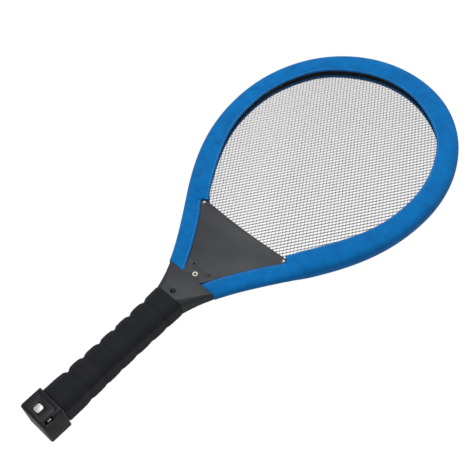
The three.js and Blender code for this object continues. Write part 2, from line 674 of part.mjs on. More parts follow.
function capHousing() {
  const [w, d, rear] = [CAP_HALF_WIDTH, CAP_FRONT, CAP_REAR];
  const section = (z, inset) => roundedSection(w - inset, (rear + d) / 2 - inset, 2 - inset * 0.5, z, 4)
    .map((point) => point.setY(point.y + (rear - d) / 2));
  const shell = loft([
    section(0, 1.3), section(0.4, 0.5), section(1.3, 0), section(CAP_HEIGHT - 0.6, 0), section(CAP_HEIGHT, 0.6),
  ]);
  const inside = w - CAP_WALL;
  const chamber = box(-inside, inside, -d + CAP_WALL + 1.6, rear - CAP_WALL, CAP_WALL, TUBE_FOOT_Z - GAP);
  const [doorLow, doorHigh] = [DOOR_FOOT_Z - GAP, DOOR_TOP_Z + GAP];
  const doorway = box(-w - 1, DOOR_RIGHT + GAP, -d - 1, -d + DOOR_THICKNESS + 2, doorLow, doorHigh);
  const hingeRoom = box(-w - 1, hinge.x + BARREL_RADIUS + 0.6, -d - 1, hinge.y + BARREL_RADIUS + GAP,
    DOOR_FOOT_Z - GAP, DOOR_TOP_Z + GAP);
  const notch = box(DOOR_RIGHT + 1.2, w + 1, -d - 1, -d + 4, 3.8, 12);
  const latchZ = LATCH_CENTRE.y;
  const behindDoor = -d + DOOR_THICKNESS - 0.4;
  const tonguePath = box(DOOR_RIGHT, DOOR_RIGHT + 2.9, behindDoor, -d + 5.4, latchZ - 2.8, latchZ + 1.8);
  const pinHole = rodZ(1.1, 0.8, 20.4, hinge.x, hinge.y);
  const screwHole = rodY(1.3, 10, 22, 0, 19.9, 12);
  const screwHead = rodY(2.6, rear - 1.2, 22, 0, 19.9, 16);
  return cut(shell, chamber, doorway, hingeRoom, notch, tonguePath, pinHole, screwHole, screwHead,
    tube(-GAP, TUBE_FOOT_Z - GAP, CAP_HEIGHT + 1));
}

// The door: a panel with a hinge barrel at its left edge and a window for the latch button.
function capDoor() {
  const [z0, z1, front] = [DOOR_FOOT_Z, DOOR_TOP_Z, -CAP_FRONT];
  const corner = 2;
  const outline = new THREE.Shape()
    .moveTo(hinge.x, z0)
    .lineTo(DOOR_RIGHT, z0)
    .lineTo(DOOR_RIGHT, z1 - corner)
    .absarc(DOOR_RIGHT - corner, z1 - corner, corner, 0, Math.PI / 2)
    .lineTo(hinge.x, z1);
  const panel = frontView(outline.getPoints(5), front, front + DOOR_THICKNESS);
  const barrel = rodZ(BARREL_RADIUS, z0, z1, hinge.x, hinge.y, 20);
  const [halfW, halfH] = [LATCH_SIZE.x / 2 + 0.5, LATCH_SIZE.y / 2 + 0.5];
  const window = box(LATCH_CENTRE.x - halfW, LATCH_CENTRE.x + halfW, front - 1, front + 4,
    LATCH_CENTRE.y - halfH, LATCH_CENTRE.y + halfH);
  return cut(union(panel, barrel), rodZ(1.1, z0 - 1, z1 + 1, hinge.x, hinge.y), window);
}

// The silver button with the plate behind the door that carries the tongue into the notch.
function latchButton() {
  const front = -CAP_FRONT;
  const { x, y: z } = LATCH_CENTRE;
  const [halfW, halfH] = [LATCH_SIZE.x / 2, LATCH_SIZE.y / 2];
  const ring = (inset, y) => roundedSection(halfW - inset, halfH - inset, 1.9 - inset, 0, 4)
    .map((point) => new THREE.Vector3(x + point.x, y, z + point.y));
  const flat = ring(0, 0).map((point) => new THREE.Vector2(point.x, point.z));
  const button = skin([ring(0.5, front - 0.7), ring(0, front - 0.3), ring(0, front + 3)], flat);
  const plate = box(x - 6, DOOR_RIGHT + 1.4, front + DOOR_THICKNESS + GAP, front + 3.4, z - 2.4, z + 1.4);
  const nose = rodZ(0.85, z - 2.4, z + 1.4, DOOR_RIGHT + 1.7, front + 2.75, 12);
  return union(button, plate, nose);
}

function doorPin() {
  return rodZ(0.8, 1, 20, hinge.x, hinge.y, 12);
}

function chargingBoard() {
  return box(-12.5, 12.5, 1.2, 2.4, 3, 16.8);
}

// A small rounded socket facing the door.
function chargingSocket() {
  const ring = (halfW, halfH, radius, y) => roundedSection(halfW, halfH, radius, 0, 3)
    .map((point) => new THREE.Vector3(point.x, y, 10 + point.y));
  const flatten = (points) => points.map((point) => new THREE.Vector2(point.x, point.z));
  const body = [ring(4.5, 1.7, 1.2, -6), ring(4.5, 1.7, 1.2, 1.2 - GAP)];
  const mouth = [ring(4, 1.2, 0.9, -7), ring(4, 1.2, 0.9, -1)];
  return cut(skin(body, flatten(body[0])), skin(mouth, flatten(mouth[0])));
}

function capScrew() {
  const seat = CAP_REAR - 1.2 + GAP;
  return turned([[0, 9.2], [1, 9.2], [1, seat], [2.2, seat], [2, seat + 0.8], [0, seat + 0.9]], 0, 19.9, 12);
}

// ---- assembly --------------------------------------------------------------------------------

const swatter = new THREE.Group();

function place(name, geometry, finish) {
  const mesh = new THREE.Mesh(geometry, finish);
  mesh.name = name;
  swatter.add(mesh);
}

function placeHead() {
  place('rim_sleeve', rimSleeve(), blueFabric);
  place('front_hoop', hoopHalf(-1), blackPlastic);
  place('rear_hoop', hoopHalf(1), blackPlastic);
  place('front_mesh', meshLayer(-1), wireMesh);
  place('middle_mesh', meshLayer(0), wireMesh);
  place('rear_mesh', meshLayer(1), wireMesh);
  place('front_spacer_ring', spacerRing(-1), blackPlastic);
  place('rear_spacer_ring', spacerRing(1), blackPlastic);
}

function placeShell() {
  place('front_shell', frontShell(), greyPlastic);
  place('rear_shell', rearShell(), greyPlastic);
  place('tip_rivet_right', tipRivet(1), bareMetal);
  place('tip_rivet_left', tipRivet(-1), bareMetal);
  screwPlaces.forEach((spot, i) => place(`shell_screw_${i + 1}`, shellScrew(spot), bareMetal));
}

function placeElectrics() {
  place('led_bezel', ledBezel(), whitePlastic);
  place('indicator_led', indicatorLed(), blackPlastic);
  place('charge_light', statusLight(1), redLens);
  place('power_light', statusLight(-1), blackPlastic);
  place('zap_button', zapButton(), blackPlastic);
  place('button_switch', buttonSwitch(), blackPlastic);
  place('circuit_board', circuitBoard(), boardGreen);
  place('transformer', transformer(), ferrite);
  place('high_voltage_capacitor', highVoltageCapacitor(), filmCapacitor);
  place('battery_cell_lower', batteryCell(LOWER_CELL_Z), cellWrap);
  place('battery_cell_upper', batteryCell(UPPER_CELL_Z), cellWrap);
  place('upper_contact', box(-6, 6, -4.5, 4.5, 129.7, 130.3), bareMetal);
  place('lower_contact', box(-6, 6, -4.5, 4.5, 19.4, 20), bareMetal);
  place('contact_spring', contactSpring(), bareMetal);
}

function placeLeads() {
  const outerRoute = [[-6, -1.2, 200], [-8, -1.5, 214], [-14, -1.5, 232], [-16, -1.4, 250.5]];
  place('outer_mesh_lead', wire(outerRoute, 0.4), redWire);
  const middleRoute = [[6, -1.1, 200], [8, -1, 214], [14, -0.8, 232], [16, -0.9, 251]];
  place('middle_mesh_lead', wire(middleRoute, 0.4), blackWire);
  const chargingRoute = [[-7, 3.2, 12], [-7.2, 4.9, 18], [-7.8, 6.2, 26], [-8, 6.4, 60], [-8, 6.4, 110],
    [-6.4, 2.2, 139]];
  place('charging_lead', wire(chargingRoute, 0.6, 6, 22), redWire);
  place('battery_lead', wire([[7, 6.2, 21.5], [8, 6.4, 60], [8, 6.4, 110], [7.2, 2.2, 139]], 0.6), blackWire);
}

function placeGripAndCap() {
  place('foam_grip', foamGrip(), blackFoam);
  place('cap_housing', capHousing(), charcoalPlastic);
  place('cap_door', capDoor(), charcoalPlastic);
  place('latch_button', latchButton(), bareMetal);
  place('door_pin', doorPin(), bareMetal);
  place('charging_board', chargingBoard(), boardGreen);
  place('charging_socket', chargingSocket(), bareMetal);
  place('cap_screw', capScrew(), bareMetal);
}

placeHead();
placeShell();
placeElectrics();
placeLeads();
placeGripAndCap();
swatter.position.z = -HAND_CENTRE_Z;

export default swatter;
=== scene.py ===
"""Looks for an electric fly swatter: a padded racket head with three wire mesh layers, a moulded
throat, a foam grip and a butt cap with a small door. Shapes are worked out in millimetres with
heights above the butt face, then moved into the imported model's frame in metres."""

import math

import bmesh
import bpy
import numpy as np
from mathutils import Matrix, Vector


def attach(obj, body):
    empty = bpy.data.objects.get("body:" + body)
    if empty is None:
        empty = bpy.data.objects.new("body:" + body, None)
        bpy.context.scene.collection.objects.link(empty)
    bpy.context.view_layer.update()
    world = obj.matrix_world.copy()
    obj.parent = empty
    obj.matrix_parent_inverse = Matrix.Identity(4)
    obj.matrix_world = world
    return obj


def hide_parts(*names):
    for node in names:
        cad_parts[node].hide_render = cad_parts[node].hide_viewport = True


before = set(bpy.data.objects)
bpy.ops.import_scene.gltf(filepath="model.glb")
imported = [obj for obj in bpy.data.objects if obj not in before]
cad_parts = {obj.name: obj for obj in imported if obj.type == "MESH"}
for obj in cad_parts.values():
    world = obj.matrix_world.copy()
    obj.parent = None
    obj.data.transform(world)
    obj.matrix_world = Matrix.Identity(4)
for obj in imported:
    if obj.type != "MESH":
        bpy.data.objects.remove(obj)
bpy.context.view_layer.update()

MM = 0.001
HAND_Z = 91.0  # the frame's origin is this far above the butt face

# The racket's driving sizes. They are the CAD part's, except that the step in the band beside the
# plate's tips is a little lower and the band there a little wider, so that no light shows past it.
HEAD_HALF_WIDTH = 120.2
HEAD_CENTRE_Z = 379.2
HEAD_RISE = 130.8
CROWN_POWER = 2.05
RIM_FOOT = np.array([29.4, 186.0])
FOOT_PULL = np.array([31.4, 61.5])  # the handle of the flank's curve at its foot
SIDE_PULL = np.array([1.0, 89.5])  # and at the widest point, drawn back from it
RIM_TAIL = 16.0
RIM_DEPTH = 9.2
ARM_DEPTH = 5.2
RIM_WIDTH = 21.6
CROWN_WIDTH = 24.6
LOW_FLANK_GAIN = 1.8  # the band is this much wider low on the flank
MID_FLANK_LOSS = 2.4
HIGH_FLANK_GAIN = 0.6
RIM_NOTCH_WIDTH = 16.2
RIM_ARM_WIDTH = 17.2
NOTCH_FROM_Z = 246.4
NOTCH_TO_Z = 247.4
NOTCH_SHEAR = 1.0
LEAN_FADE = 16.0  # the lean above the step is gone this far up
SLOT_DEPTH = 2.9
ARM_SLOT_DEPTH = 1.9
SLOT_GAP = 0.5  # between the sleeve's lips and the CAD slot
COVER_WALL = 2.4
SLEEVE_WALL = 2.7
SLEEVE_LIP = 4.35  # padding inside the hoop
SHOULDER_Z = 187.6
SHOULDER_GAP = 0.3  # between the shell's shoulder and the sleeve
THROAT_TOP_Z = 258.5

# Heights between which a size goes over to its next value.
ARM_NARROWS = (232, 243)
SLOT_OPENS = (236, 246)
RIM_THICKENS = (240, 262)
RECESS_GROWS = (246, 262)
MID_FLANK = (285, 350)
HIGH_FLANK = (390, 440)
CROWN_WIDENS = (460, 505)

# The sleeve's skin and its seam.
SECTION_PITCH = 0.8  # along the rim
EDGE_POINTS = 14
EDGE_SHARE = 0.46  # how much of the band's width the rounded outer edge takes up
EDGE_POWER = 0.763  # 1 is an ellipse, less is fuller
SEAM_INSET = 1.8  # the stitches' distance from the band's inner edge
REAR_RECESS = 3.7  # how much further out the rear seam lies
RECESS_SHARES = [1] * 9 + [0.8, 0.6, 0.45, 0.3, 0.15, 0, 0, 0]  # for each point of the seam
STITCH_PITCH = 3.2
STITCH_DEPTH = 1.0  # below the band's face
STITCH_FOOT_Z = SHOULDER_Z + 1.2  # no stitch reaches below this
STITCH_SIDES = 8
STITCH_SHAPE = [  # along the seam, lift and radius of the thread
    (-1.25, -0.32, 0.08),
    (-1.1, -0.12, 0.2),
    (-0.6, 0.06, 0.26),
    (0.0, 0.1, 0.27),
    (0.6, 0.06, 0.26),
    (1.1, -0.12, 0.2),
    (1.25, -0.32, 0.08),
]

# The wire mesh.
MESH_PITCH = 2.1
MESH_INSET = 11.0  # from the rim's outline to the edge of a layer
MESH_FOOT_Z = 252.3
MESH_FOOT_HALF = 48.5  # half width of the part that goes down into the throat
MESH_LEDGE_Z = 259.6
MESH_LEDGE_HALF = 57.0
LAYER_STAGGER = np.array([-0.82, 0.0, 0.50])  # of each layer against the one in front
CELL_WIDTH = 4.0
CELL_HEIGHT = 5.6
KNUCKLE_HALF_THICK = 0.16
STRAND_HALF_THICK = 0.10
OPENING_REACH = 0.955  # size of a cell's opening against the cell
OPENING_LEAN = -0.039  # makes one set of strands broader than the other
SIDE_CUT = 0.10  # the opening's corners are cut off square
SIDE_HALF = 0.34
END_CUT = 0.30
END_HALF = 0.30

# The foam grip. Pairs are side to side and front to back.
GRIP_FOOT_Z = 22.7
GRIP_TOP_Z = 159.0
GRIP_FOOT_HALF = np.array([15.4, 15.0])
GRIP_TOP_HALF = np.array([15.7, 12.9])
GRIP_WAIST = np.array([0.9, 0.2])
GRIP_CORNER_RADIUS = 8.0
GRIP_BACKWARD = 0.8  # how far the grip's foot stands back from the handle's axis
GRIP_ROUND = 12  # points round each corner
GRIP_AROUND = 144
GRIP_RING_PITCH = 0.9
GRIP_RIPPLE = 0.004  # as a share of the grip's radius
GRIP_GROOVE_Z = 49.0
GRIP_PITCH = 18.2
GROOVE_COUNT = 6
GROOVE_HALF_WIDTH = 2.3
HOLLOW_HALF_WIDTH = 6.0  # each groove lies in a wider, shallower hollow
HOLLOW_SHARE = 0.28
LOWEST_GROOVE_DEPTH = 1.35  # against 1 for the others
GRIP_EDGE_RISES = [0, 0.25, 0.7, 1.3]  # the rounded edge's rings, from either end
GRIP_EDGE_SHRINKS = [1.0, 0.45, 0.14, 0.02]
BORE_HALF = (12.5, 11.1)
BORE_CORNER_RADIUS = 7.3

# Rounded edges on the CAD nodes: vertices this close are joined (mm), faces that meet at less than
# the first angle count as flat, and edges sharper than the second are rounded (degrees).
JOIN_DISTANCE = 0.004
FLAT_ANGLE = 0.6
ROUND_ANGLE = 32

# The camera: low in front and to the right, rolled. Degrees and millimetres.
VIEW_AZIMUTH = 28.28
VIEW_ELEVATION = -20.06
VIEW_ROLL = 47.33
VIEW_DISTANCE = 893.1
VIEW_TARGET_X = -1.31
VIEW_TARGET_Z = 248.85
LENS = 72.05

# The stage, in metres.
LIT_STRENGTH = 0.36
LIGHTS_AIM = (0, 0, 0.16)
FLOOR_RADIUS = 6
FLOOR_Z = -1.1


def to_frame(points):
    """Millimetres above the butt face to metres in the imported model's frame."""
    moved = np.array(points, dtype=float)
    moved[:, 2] -= HAND_Z
    return moved * MM


# ---- mesh helpers ---------------------------------------------------------------------------


def new_piece(name, vertices, faces, material, smooth=True):
    mesh = bpy.data.meshes.new(name)
    mesh.from_pydata([tuple(v) for v in vertices], [], [tuple(map(int, f)) for f in faces])
    mesh.materials.append(material)
    piece = bpy.data.objects.new(name, mesh)
    bpy.context.scene.collection.objects.link(piece)
    shells = bmesh.new()
    shells.from_mesh(mesh)
    bmesh.ops.recalc_face_normals(shells, faces=shells.faces)
    shells.to_mesh(mesh)
    shells.free()
    mesh.polygons.foreach_set("use_smooth", [smooth] * len(mesh.polygons))
    return piece


def grid_faces(rings, around, closed_rings=False):
    """Quads over a grid of rings, each a closed loop of points."""
    faces = []
    last = rings if closed_rings else rings - 1
    for i in range(last):
        below = i * around
        above = ((i + 1) % rings) * around
        for j in range(around):
            k = (j + 1) % around
            faces.append((below + j, below + k, above + k, above + j))
    return faces


def smoothstep(x, low, high):
    t = np.clip((np.asarray(x, dtype=float) - low) / (high - low), 0.0, 1.0)
    return t * t * (3 - 2 * t)


def wander(s, seed, wavelengths, amplitude):
    """A smooth, repeatable unevenness along s."""
    rng = np.random.default_rng(seed)
    total = np.zeros_like(np.asarray(s, dtype=float))
    for length in wavelengths:
        total += np.sin(2 * np.pi * s / length + rng.uniform(0, 2 * np.pi)) / len(wavelengths)
    return amplitude * total


def lengths_along(points):
    """The length of a line up to each of its points."""
    return np.concatenate([[0], np.cumsum(np.linalg.norm(np.diff(points, axis=0), axis=1))])


# ---- the rim's outline ----------------------------------------------------------------------


def flank_and_crown(count=600):
    """The right half of the outline: a curve up the flank, then an ellipse-like crown."""
    t = np.linspace(0, 1, count)[:, None]
    widest = np.array([HEAD_HALF_WIDTH, HEAD_CENTRE_Z])
    controls = [RIM_FOOT, RIM_FOOT + FOOT_PULL, widest - SIDE_PULL, widest]
    weights = [(1 - t) ** 3, 3 * t * (1 - t) ** 2, 3 * t * t * (1 - t), t**3]
    flank = sum(w * c for w, c in zip(weights, controls))
    angle = np.linspace(0, math.pi / 2, count)
    power = 2 / CROWN_POWER
    crown = np.stack([HEAD_HALF_WIDTH * np.abs(np.cos(angle)) ** power,
                      HEAD_CENTRE_Z + HEAD_RISE * np.sin(angle) ** power], 1)
    crown[-1, 0] = 0.0
    start = flank[0] - RIM_TAIL * (flank[1] - flank[0]) / np.linalg.norm(flank[1] - flank[0])
    return np.concatenate([[start], flank, crown[1:]])


def rim_outline(step):
    """Points (x, z) and outward normals at an even step, up the right flank and down the left."""
    right = flank_and_crown()
    left = right[-2::-1] * [-1, 1]
    line = np.concatenate([right, left])
    lengths = lengths_along(line)
    count = int(lengths[-1] / step) + 1
    s = np.linspace(0, lengths[-1], count)
    points = np.stack([np.interp(s, lengths, line[:, 0]), np.interp(s, lengths, line[:, 1])], 1)
    tangents = np.gradient(points, axis=0)
    tangents /= np.linalg.norm(tangents, axis=1)[:, None]
    normals = np.stack([tangents[:, 1], -tangents[:, 0]], 1)
    return points, normals, s


def sleeve_width(z):
    """The band's width: arm, notch beside the rivet, full width, a little more at the tip."""
    lower = RIM_ARM_WIDTH + (RIM_NOTCH_WIDTH - RIM_ARM_WIDTH) * smoothstep(z, *ARM_NARROWS)
    upper = RIM_WIDTH + (CROWN_WIDTH - RIM_WIDTH) * smoothstep(z, *CROWN_WIDENS)
    upper = upper + LOW_FLANK_GAIN
    upper = upper - MID_FLANK_LOSS * smoothstep(z, *MID_FLANK)
    upper = upper + HIGH_FLANK_GAIN * smoothstep(z, *HIGH_FLANK)
    return lower + (upper - lower) * smoothstep(z, NOTCH_FROM_Z, NOTCH_TO_Z)


def rim_depth(z):
    return ARM_DEPTH + (RIM_DEPTH - ARM_DEPTH) * smoothstep(z, *RIM_THICKENS)


def slot_depth(z):
    return ARM_SLOT_DEPTH + (SLOT_DEPTH - ARM_SLOT_DEPTH) * smoothstep(z, *SLOT_OPENS)


def rear_recess(z):
    """How much further out the sleeve's rear seam lies than its front seam."""
    return REAR_RECESS * float(smoothstep(z, *RECESS_GROWS))


def sweep(points, normals, sections):
    """Rings of (x, y, z) from rings of (inset, y) at each outline point. Just above the step in
    the band's width its inner part leans back, so that the step runs level."""
    rings = np.zeros((len(points), sections.shape[1], 3))
    inset = sections[:, :, 0]
    z = points[:, 1]
    above = 1 - smoothstep(z, NOTCH_TO_Z, NOTCH_TO_Z + LEAN_FADE)
    fade = np.where(z < NOTCH_TO_Z - 0.1, 0.0, above)
    depth = np.clip((inset - RIM_NOTCH_WIDTH) / (RIM_WIDTH - RIM_NOTCH_WIDTH), 0, 1)
    lean = -NOTCH_SHEAR * depth * (fade * np.sign(points[:, 0]))[:, None]
    rings[:, :, 0] = points[:, None, 0] - normals[:, None, 0] * inset - normals[:, None, 1] * lean
    rings[:, :, 1] = sections[:, :, 1]
    rings[:, :, 2] = points[:, None, 1] - normals[:, None, 1] * inset + normals[:, None, 0] * lean
    return rings


# ---- materials ------------------------------------------------------------------------------


class Nodes:
    """A material with one Principled shader and short calls to wire nodes to it."""

    def __init__(self, name, roughness, metallic=0.0, **sockets):
        self.material = bpy.data.materials.new(name)
        self.material.use_nodes = True
        self.tree = self.material.node_tree
        self.shader = self.tree.nodes["Principled BSDF"]
        self.shader.inputs["Roughness"].default_value = roughness
        self.shader.inputs["Metallic"].default_value = metallic
        for socket, value in sockets.items():
            self.shader.inputs[socket.replace("_", " ")].default_value = value
        self.place = self.add("ShaderNodeTexCoord").outputs["Object"]

    def add(self, kind, **settings):
        """A new node. A setting is one of its properties, or else the value of an input."""
        node = self.tree.nodes.new(kind)
        for key, value in settings.items():
            if hasattr(node, key):
                setattr(node, key, value)
            else:
                node.inputs[key.replace("_", " ")].default_value = value
        return node

    def link(self, source, target):
        self.tree.links.new(source, target)

    def noise(self, scale, detail=3.0, stretch=None, roughness=0.5):
        node = self.add("ShaderNodeTexNoise", Scale=scale, Detail=detail, Roughness=roughness)
        place = self.place
        if stretch is not None:
            mapping = self.add("ShaderNodeMapping")
            mapping.inputs["Scale"].default_value = stretch
            self.link(place, mapping.inputs["Vector"])
            place = mapping.outputs["Vector"]
        self.link(place, node.inputs["Vector"])
        return node.outputs["Fac"]

    def colour_between(self, factor, low, high):
        """Base colour from low to high, over the middle of a noise's range."""
        ramp = self.add("ShaderNodeValToRGB")
        ramp.color_ramp.elements[0].position = 0.3
        ramp.color_ramp.elements[1].position = 0.7
        ramp.color_ramp.elements[0].color = (*low, 1)
        ramp.color_ramp.elements[1].color = (*high, 1)
        self.link(factor, ramp.inputs["Fac"])
        self.link(ramp.outputs["Color"], self.shader.inputs["Base Color"])

    def rough_between(self, factor, low, high):
        node = self.add("ShaderNodeMapRange")
        node.inputs["To Min"].default_value = low
        node.inputs["To Max"].default_value = high
        self.link(factor, node.inputs["Value"])
        self.link(node.outputs["Result"], self.shader.inputs["Roughness"])

    def bump(self, height, distance, strength):
        """Adds a bump on top of those already there. distance is in metres."""
        node = self.add("ShaderNodeBump", Strength=strength, Distance=distance)
        self.link(height, node.inputs["Height"])
        previous = self.shader.inputs["Normal"].links
        if previous:
            self.link(previous[0].from_socket, node.inputs["Normal"])
        self.link(node.outputs["Normal"], self.shader.inputs["Normal"])


def linear(r, g, b):
    """An sRGB colour from 0 to 255 as linear values."""
    return tuple(((c / 255 + 0.055) / 1.055) ** 2.4 if c > 10 else c / 255 / 12.92 for c in (r, g, b))


def fabric_material():
    made = Nodes("sleeve_fabric", 0.8, Sheen_Weight=0.1, Sheen_Roughness=0.5, Specular_IOR_Level=0.1)
    cloudy = made.noise(scale=75, detail=6, roughness=0.65)
    made.colour_between(cloudy, linear(0, 99, 168), linear(0, 120, 195))
    weave = [
        made.add("ShaderNodeTexWave", wave_type="BANDS", bands_direction=axis, Scale=520, Distortion=0.6)
        for axis in ("X", "Z")
    ]
    mixed = made.add("ShaderNodeMath", operation="MULTIPLY")
    for k, wave in enumerate(weave):
        made.link(made.place, wave.inputs["Vector"])
        made.link(wave.outputs["Fac"], mixed.inputs[k])
    made.bump(mixed.outputs["Value"], distance=0.00012, strength=0.5)
    made.bump(made.noise(scale=160), distance=0.0003, strength=0.35)
    return made.material


def thread_material():
    made = Nodes("sleeve_thread", 0.6, Sheen_Weight=0.2)
    made.colour_between(made.noise(scale=900, detail=2), linear(60, 140, 205), linear(95, 165, 220))
    made.bump(made.noise(scale=2600, detail=2), distance=0.0001, strength=0.4)
    return made.material


def wire_material():
    made = Nodes("mesh_wire", 0.42, metallic=0.85)
    made.colour_between(made.noise(scale=120, detail=4), (0.02, 0.02, 0.021), (0.07, 0.07, 0.073))
    made.bump(made.noise(scale=1500, detail=2), distance=0.00005, strength=0.4)
    return made.material


def moulded_material(name, dark, light, roughness, grain=1800.0, depth=0.00006):
    """Spark-eroded moulded plastic: a fine pebble, slight cloudiness and worn-smooth patches."""
    made = Nodes(name, roughness, Specular_IOR_Level=0.3)
    made.colour_between(made.noise(scale=45, detail=4), dark, light)
    made.rough_between(made.noise(scale=90), roughness - 0.07, roughness + 0.1)
    made.bump(made.noise(scale=grain, detail=2), depth, strength=0.6)
    return made.material


def foam_material():
    made = Nodes("grip_foam", 0.85, Sheen_Weight=0.06, Sheen_Roughness=0.6, Specular_IOR_Level=0.2)
    made.colour_between(made.noise(scale=60, detail=4), linear(25, 26, 31), linear(32, 33, 39))
    cells = made.add("ShaderNodeTexVoronoi", Scale=1400)
    made.link(made.place, cells.inputs["Vector"])
    made.bump(cells.outputs["Distance"], distance=0.00018, strength=0.55)
    made.bump(made.noise(scale=260), distance=0.0003, strength=0.4)
    return made.material


def metal_material(name, low, high, roughness, brushed=(1, 1, 1)):
    """Metal with a fine grain, drawn out along an axis where brushed says so."""
    made = Nodes(name, roughness, metallic=1.0)
    grain = made.noise(scale=900, stretch=brushed)
    made.colour_between(grain, low, high)
    worn = made.noise(scale=400, stretch=brushed)
    made.rough_between(worn, roughness - 0.06, roughness + 0.12)
    made.bump(grain, distance=0.00003, strength=0.4)
    return made.material


def plain_material(name, low, high, roughness, scale=300, depth=0.00004, **sockets):
    made = Nodes(name, roughness, **sockets)
    made.colour_between(made.noise(scale), low, high)
    made.bump(made.noise(scale * 4, detail=2), depth, strength=0.4)
    return made.material


FABRIC = fabric_material()
THREAD = thread_material()
WIRE = wire_material()
FOAM = foam_material()
THROAT = moulded_material("throat_plastic", linear(47, 49, 53), linear(53, 55, 59), 0.5)
CHARCOAL = moulded_material("cap_plastic", linear(22, 22, 27), linear(31, 31, 37), 0.34, 1400, 0.00008)
BLACK = moulded_material("black_plastic", linear(20, 20, 22), linear(28, 28, 30), 0.4, 1500, 0.00004)
BUTTON_BLACK = plain_material("button_black", linear(6, 6, 7), linear(12, 12, 13), 0.45, 500,
                              Specular_IOR_Level=0.25)
RIVET = metal_material("rivet_metal", (0.24, 0.25, 0.25), (0.36, 0.37, 0.37), 0.34)
STEEL = metal_material("bright_steel", (0.60, 0.60, 0.59), (0.74, 0.74, 0.72), 0.25)
SILVER = metal_material("silver_button_metal", (0.60, 0.61, 0.58), (0.70, 0.71, 0.68), 0.32, (1, 1, 14))
IVORY = plain_material("bezel_ivory", linear(228, 222, 205), linear(240, 236, 222), 0.35, 500)
LENS_DARK = plain_material("dark_lens", linear(8, 8, 9), linear(15, 13, 14), 0.3, 600,
                           Specular_IOR_Level=0.25)
LENS_RED = plain_material("red_lens", linear(70, 26, 26), linear(92, 32, 30), 0.12, 600, Coat_Weight=0.5)
BOARD = plain_material("board_mask", linear(20, 82, 46), linear(30, 100, 58), 0.35, 700)
FERRITE = plain_material("ferrite_core", linear(52, 48, 45), linear(68, 64, 60), 0.7, 800, depth=0.0001)
DIPPED = plain_material("capacitor_dip", linear(128, 40, 26), linear(150, 50, 34), 0.25, 200)
CELL = plain_material("cell_sleeve", linear(34, 110, 64), linear(44, 128, 76), 0.3, 150)
RED_WIRE = plain_material("red_insulation", linear(165, 30, 26), linear(190, 38, 32), 0.45, 400)
BLACK_WIRE = plain_material("black_insulation", linear(22, 22, 24), linear(32, 32, 34), 0.45, 400)


# ---- head -----------------------------------------------------------------------------------


def outer_edge(width, depth):
    """(inset, y) round the band's outer edge, from its outermost point to the flat of its face."""
    angle = np.linspace(0, math.pi / 2, EDGE_POINTS)
    inset = EDGE_SHARE * width * (1 - np.cos(angle) ** EDGE_POWER)
    y = depth * np.sin(angle) ** EDGE_POWER
    return list(zip(inset, y))


def seam_and_lip(width, depth, slot, pucker):
    """(inset, y) from the face over the stitched seam and the rolled edge into the slot. pucker
    deepens the seam between stitches."""
    wall = depth - slot
    return [
        (width - 6.2, depth - 0.10),
        (width - 4.2, depth - 0.35),
        (width - 3.0, depth - 0.62),
        (width - 2.3, depth - 0.90 - 0.10 * pucker),
        (width - SEAM_INSET, depth - 1.20 - 0.22 * pucker),
        (width - 1.35, depth - 1.02 - 0.12 * pucker),
        (width - 0.85, depth - 1.10),
        (width - 0.40, depth - 1.42 - 0.06 * pucker),
        (width - 0.12, depth - 1.95 - 0.06 * pucker),
        (width - 0.10, slot + wall * 0.58),
        (width - 0.75, slot + wall * 0.42),
        (width - 1.55, slot + wall * 0.26),
        (width - 2.25, slot + wall * 0.12),
        (width - 2.9, slot + 0.02),
        (width - 3.6, slot),
        (width - 4.1, slot),
        (width - SLEEVE_LIP, slot),
    ]


def sleeve_section(z, width, pucker):
    """One section of the padded sleeve: the skin from the slot round to the slot, then the pocket
    that holds the hoop."""
    depth = float(rim_depth(z))
    outer = outer_edge(width, depth)
    seam = seam_and_lip(width, depth, float(slot_depth(z)) + SLOT_GAP, pucker)
    recess = rear_recess(z)
    rear_seam = [(inset - recess * share, y) for (inset, y), share in zip(seam, RECESS_SHARES)]
    front = [(inset, -y) for inset, y in reversed(outer + seam)]
    rear = outer[1:] + rear_seam
    inner = width - SLEEVE_LIP
    cover = depth - COVER_WALL
    pocket = [(inner, cover), (SLEEVE_WALL, cover), (SLEEVE_WALL, -cover), (inner, -cover)]
    return np.array(front + rear + pocket)


def cut_at(piece, height):
    """Cuts a closed piece off below a height and closes the cut."""
    mesh = piece.data
    work = bmesh.new()
    work.from_mesh(mesh)
    plane = Vector((0, 0, (height - HAND_Z) * MM))
    everything = work.verts[:] + work.edges[:] + work.faces[:]
    bmesh.ops.bisect_plane(work, geom=everything, plane_co=plane, plane_no=(0, 0, 1), clear_inner=True)
    rim = [edge for edge in work.edges if edge.is_boundary]
    bmesh.ops.holes_fill(work, edges=rim)
    for face in work.faces:
        if abs(face.normal.z) > 0.999 and len(face.verts) > 8:
            face.smooth = False
    bmesh.ops.recalc_face_normals(work, faces=work.faces)
    work.to_mesh(mesh)
    work.free()


